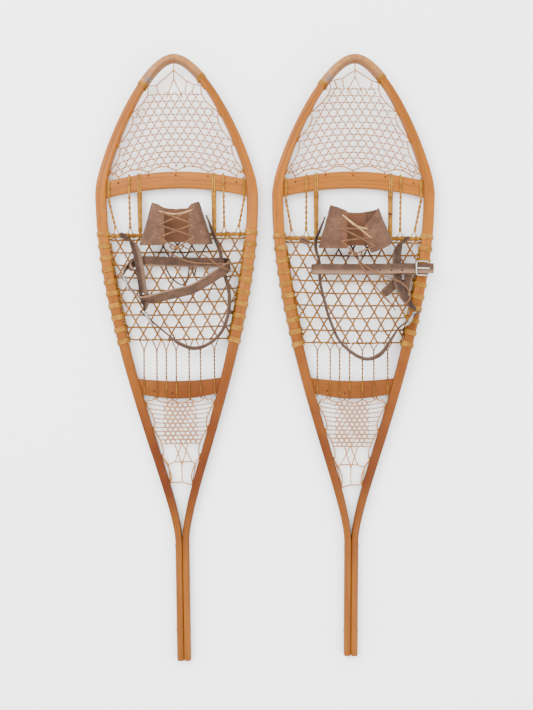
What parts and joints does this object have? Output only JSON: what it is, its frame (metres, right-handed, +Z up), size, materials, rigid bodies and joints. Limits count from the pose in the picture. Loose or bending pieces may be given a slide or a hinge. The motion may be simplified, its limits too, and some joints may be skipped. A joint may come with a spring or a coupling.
{
  "type": "snowshoes",
  "caption": "Pair of long-tailed bent-wood snowshoes with laced rawhide webbing and leather bindings that hinge on a cross cord.",
  "frame": {"origin": "on the ground at the centre of the pair's box", "axes": "+Y from the tails to the toes, +Z up out of the webbing, +X to the wearer's right"},
  "size_m": [0.6866, 1.222, 0.0743],
  "materials": {
    "ash": "oiled, worn",
    "rawhide_cover": "ribbed rawhide",
    "rawhide_lacing": "varnished rawhide lacing",
    "rawhide_cord": "varnished rawhide",
    "suede": "suede",
    "thong": "thong",
    "strap_leather": "worn strap",
    "steel": "nickel plated"
  },
  "bodies": {
    "left_shoe": {"left_frame": "ash", "left_front_crossbar": "ash", "left_rear_crossbar": "ash", "left_tip_cover": "rawhide_cover", "left_tip_lashing_a": "rawhide_cord", "left_tip_lashing_b": "rawhide_cord", "left_toe_net": "rawhide_lacing", "left_body_web": "rawhide_lacing", "left_heel_net": "rawhide_lacing", "left_master_cord": "rawhide_cord", "left_toe_cord_inner": "rawhide_cord", "left_toe_cord_outer": "rawhide_cord", "left_rail_lashing_inner": "rawhide_cord", "left_rail_lashing_outer": "rawhide_cord", "left_tail_rivet_1": "steel", "left_tail_rivet_2": "steel"},
    "left_instep_prong": {"left_instep_prong": "steel"},
    "left_heel_prong": {"left_heel_prong": "steel"},
    "left_binding": {"left_anchor_loop_inner": "strap_leather", "left_anchor_loop_outer": "strap_leather", "left_heel_billet": "strap_leather", "left_heel_buckle": "steel", "left_heel_strap": "strap_leather", "left_instep_buckle": "steel", "left_instep_strap": "strap_leather", "left_lace_tail_long": "thong", "left_lace_tail_short": "thong", "left_toe_lace": "thong", "left_toe_piece": "suede"},
    "right_shoe": {"right_frame": "ash", "right_front_crossbar": "ash", "right_rear_crossbar": "ash", "right_tip_cover": "rawhide_cover", "right_tip_lashing_a": "rawhide_cord", "right_tip_lashing_b": "rawhide_cord", "right_toe_net": "rawhide_lacing", "right_body_web": "rawhide_lacing", "right_heel_net": "rawhide_lacing", "right_master_cord": "rawhide_cord", "right_toe_cord_inner": "rawhide_cord", "right_toe_cord_outer": "rawhide_cord", "right_rail_lashing_inner": "rawhide_cord", "right_rail_lashing_outer": "rawhide_cord", "right_tail_rivet_1": "steel", "right_tail_rivet_2": "steel"},
    "right_instep_prong": {"right_instep_prong": "steel"},
    "right_heel_prong": {"right_heel_prong": "steel"},
    "right_binding": {"right_anchor_loop_inner": "strap_leather", "right_anchor_loop_outer": "strap_leather", "right_anchor_tab": "strap_leather", "right_heel_billet": "strap_leather", "right_heel_buckle": "steel", "right_heel_strap": "strap_leather", "right_instep_buckle": "steel", "right_instep_strap": "strap_leather", "right_lace_tail_long": "thong", "right_lace_tail_short": "thong", "right_toe_lace": "thong", "right_toe_piece": "suede"}
  },
  "joints": [
    {"name": "right_shoe_lift", "type": "slide", "parent": "left_shoe", "child": "right_shoe", "axis": [0, 0, 1], "range_m": [0, 0.25]},
    {"name": "left_binding_pivot", "type": "hinge", "parent": "left_shoe", "child": "left_binding", "pos_m": [-0.17725, 0.25116, 0.0158], "axis": [-0.9999, -0.0157, 0], "range_deg": [0, 45]},
    {"name": "left_instep_prong_pivot", "type": "hinge", "parent": "left_binding", "child": "left_instep_prong", "pos_m": [-0.28138, 0.16471, 0.0352], "axis": [0, 0, -1], "range_deg": [0, 80]},
    {"name": "left_heel_prong_pivot", "type": "hinge", "parent": "left_binding", "child": "left_heel_prong", "pos_m": [-0.23949, 0.09288, 0.0342], "axis": [0, 0, -1], "range_deg": [0, 80]},
    {"name": "right_binding_pivot", "type": "hinge", "parent": "right_shoe", "child": "right_binding", "pos_m": [0.178, 0.24418, 0.0158], "axis": [-1, 0.0052, 0], "range_deg": [0, 45]},
    {"name": "right_instep_prong_pivot", "type": "hinge", "parent": "right_binding", "child": "right_instep_prong", "pos_m": [0.32607, 0.18141, 0.04179], "axis": [0.0052, 1, 0], "range_deg": [0, 80]},
    {"name": "right_heel_prong_pivot", "type": "hinge", "parent": "right_binding", "child": "right_heel_prong", "pos_m": [0.29608, 0.09072, 0.05378], "axis": [-0.3437, -0.29, 0.8932], "range_deg": [0, 80]}
  ]
}
